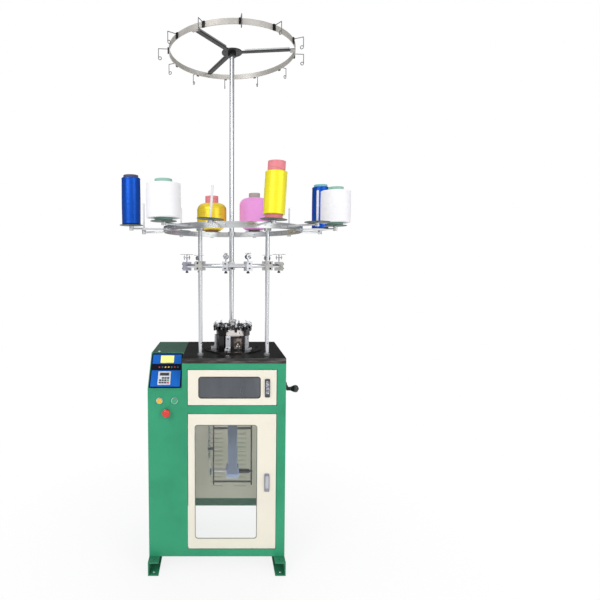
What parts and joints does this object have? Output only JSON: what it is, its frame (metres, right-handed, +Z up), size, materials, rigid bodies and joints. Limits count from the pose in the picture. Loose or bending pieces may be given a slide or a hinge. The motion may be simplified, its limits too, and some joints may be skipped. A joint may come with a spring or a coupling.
{
  "type": "industrial knitting machine",
  "caption": "Floor-standing circular knitting machine: sheet metal cabinet with control console, knitting head on the table, creel with yarn packages and a yarn guide ring on a tall pole.",
  "frame": {"origin": "middle of the four floor bolts, on the floor", "axes": "+Z up along the pole, +X to the operator's right, -Y to the front with the doors and the control panel"},
  "size_m": [1.1374, 1.1943, 2.648],
  "materials": {
    "green_paint": "semi-gloss sheet metal paint",
    "panel_grey": "satin paint",
    "table_black": "satin black",
    "green_dark": "semi-gloss paint",
    "panel_navy": "gloss film",
    "lcd": "lit screen",
    "lamp": "clear lens",
    "keypad": "satin",
    "shaft_steel": "turned steel",
    "cream_paint": "satin paint",
    "window_dark": "smoked pane",
    "window_clear": "clear pane",
    "latch_dark": "satin",
    "chrome_part": "polished",
    "latch_grey": "satin",
    "yellow_button": "gloss",
    "green_button": "gloss",
    "red_button": "gloss",
    "cast_black": "blackened steel, oiled",
    "steel": "ground steel",
    "bright": "polished",
    "white_guide": "ceramic look",
    "hanger_iron": "painted casting",
    "motor_paint": "painted casting",
    "belt_rubber": "matt",
    "handle_black": "gloss phenolic",
    "fabric": "knitted tube",
    "ring_steel": "satin flat bar",
    "disc_green": "satin",
    "yarn": "wound yarn, coloured in the render",
    "paper_tube": "paper tube",
    "hub_black": "satin",
    "wire": "polished wire"
  },
  "bodies": {
    "machine": {"runner_left": "green_paint", "runner_right": "green_paint", "cabinet_shell": "green_paint", "back_panel": "panel_grey", "table_top": "table_black", "console_housing": "green_dark", "console_panel": "panel_navy", "lcd_screen": "lcd", "indicator_lamps": "lamp", "drive_keypad": "keypad", "hinge_pins": "shaft_steel", "button_bezels": "chrome_part", "bed_plate": "cast_black", "head_bearing": "steel", "cam_housing": "cast_black", "cam_ring": "bright", "head_brackets": "steel", "feeder_ring": "cast_black", "feeders": "steel", "centre_guide": "white_guide", "shaft_hangers": "hanger_iron", "motor": "motor_paint", "drive_belt": "belt_rubber", "posts": "bright", "ring_clamps": "steel", "tension_ring": "bright", "tension_units": "steel", "creel_frame": "ring_steel", "cone_discs": "disc_green", "cone_pins": "steel", "yarn_cones": "yarn", "yarn_cylinders": "yarn", "cone_tubes": "paper_tube", "top_hub": "hub_black", "top_ring": "ring_steel", "yarn_hooks": "wire"},
    "upper_door_body": {"upper_door": "cream_paint", "upper_window": "window_dark", "upper_latch_plate": "latch_dark"},
    "lower_door_body": {"lower_door": "cream_paint", "lower_window": "window_clear", "lower_latch_plate": "latch_grey"},
    "upper_latch": {"upper_latch_lever": "chrome_part"},
    "lower_latch": {"lower_latch_lever": "chrome_part"},
    "yellow_button_body": {"button_yellow": "yellow_button"},
    "green_button_body": {"button_green": "green_button"},
    "stop_stem_body": {"stop_stem": "chrome_part"},
    "stop_head_body": {"stop_head": "red_button"},
    "rotor": {"needle_cylinder": "steel", "needles": "bright", "crown_gear": "shaft_steel", "takedown_frame": "cast_black", "fabric_tube": "fabric"},
    "drive_shaft_body": {"drive_shaft": "shaft_steel"},
    "motor_rotor": {"motor_pulley": "shaft_steel"},
    "crank_body": {"crank_shaft": "shaft_steel"},
    "crank_handle_body": {"crank_handle": "handle_black"},
    "takeup": {"takeup_roller": "steel"},
    "pawl_lever_body": {"pawl_lever": "green_paint"},
    "pawl_rod_body": {"pawl_rod": "steel"}
  },
  "joints": [
    {"name": "upper_door_hinge", "type": "hinge", "parent": "machine", "child": "upper_door_body", "pos_m": [-0.131, -0.244, 0.895], "axis": [0, 0, -1], "range_deg": [0, 110]},
    {"name": "lower_door_hinge", "type": "hinge", "parent": "machine", "child": "lower_door_body", "pos_m": [-0.131, -0.244, 0.436], "axis": [0, 0, -1], "range_deg": [0, 110]},
    {"name": "upper_latch_turn", "type": "hinge", "parent": "upper_door_body", "child": "upper_latch", "pos_m": [0.239, -0.25, 0.921], "axis": [0, 1, 0], "range_deg": [0, 90]},
    {"name": "lower_latch_turn", "type": "hinge", "parent": "lower_door_body", "child": "lower_latch", "pos_m": [0.239, -0.25, 0.46223], "axis": [0, 1, 0], "range_deg": [0, 90]},
    {"name": "yellow_button_press", "type": "slide", "parent": "machine", "child": "yellow_button_body", "axis": [0, 1, 0], "range_m": [0, 0.003], "stiffness_N_per_m": 400, "springref_m": -0.001},
    {"name": "green_button_press", "type": "slide", "parent": "machine", "child": "green_button_body", "axis": [0, 1, 0], "range_m": [0, 0.003], "stiffness_N_per_m": 400, "springref_m": -0.001},
    {"name": "stop_press", "type": "slide", "parent": "machine", "child": "stop_stem_body", "axis": [0, 1, 0], "range_m": [0, 0.005], "stiffness_N_per_m": 400, "springref_m": -0.001},
    {"name": "stop_twist", "type": "hinge", "parent": "stop_stem_body", "child": "stop_head_body", "pos_m": [-0.238, -0.264, 0.777], "axis": [0, 1, 0], "range_deg": [0, 45]},
    {"name": "cylinder_spin", "type": "hinge", "parent": "machine", "child": "rotor", "pos_m": [0.0815, 0, 1], "axis": [0, 0, 1], "continuous": true},
    {"name": "drive_shaft_spin", "type": "hinge", "parent": "machine", "child": "drive_shaft_body", "pos_m": [-0.0885, 0, 0.844], "axis": [1, 0, 0], "continuous": true},
    {"name": "motor_spin", "type": "hinge", "parent": "machine", "child": "motor_rotor", "pos_m": [-0.1335, 0.07, 0.56], "axis": [1, 0, 0], "continuous": true},
    {"name": "crank_spin", "type": "hinge", "parent": "machine", "child": "crank_body", "pos_m": [0.2815, 0, 0.844], "axis": [1, 0, 0], "continuous": true},
    {"name": "crank_handle_spin", "type": "hinge", "parent": "crank_body", "child": "crank_handle_body", "pos_m": [0.387, -0.07, 0.844], "axis": [1, 0, 0], "continuous": true},
    {"name": "takeup_spin", "type": "hinge", "parent": "rotor", "child": "takeup", "pos_m": [0.0815, 0, 0.383], "axis": [1, 0, 0], "continuous": true},
    {"name": "pawl_rod_slide", "type": "slide", "parent": "rotor", "child": "pawl_rod_body", "axis": [0, 0, 1], "range_m": [0, 0.0066]},
    {"name": "pawl_lever_swing", "type": "hinge", "parent": "rotor", "child": "pawl_lever_body", "pos_m": [-0.0335, 0, 0.383], "axis": [-1, 0, 0], "range_deg": [0, 10]}
  ],
  "couplings": [
    {"joint": "drive_shaft_spin", "follows": "cylinder_spin", "ratio": 4},
    {"joint": "motor_spin", "follows": "cylinder_spin", "ratio": 8},
    {"joint": "crank_spin", "follows": "cylinder_spin", "ratio": -4},
    {"joint": "pawl_lever_swing", "follows": "pawl_rod_slide", "rad_per_m": 26.316}
  ]
}
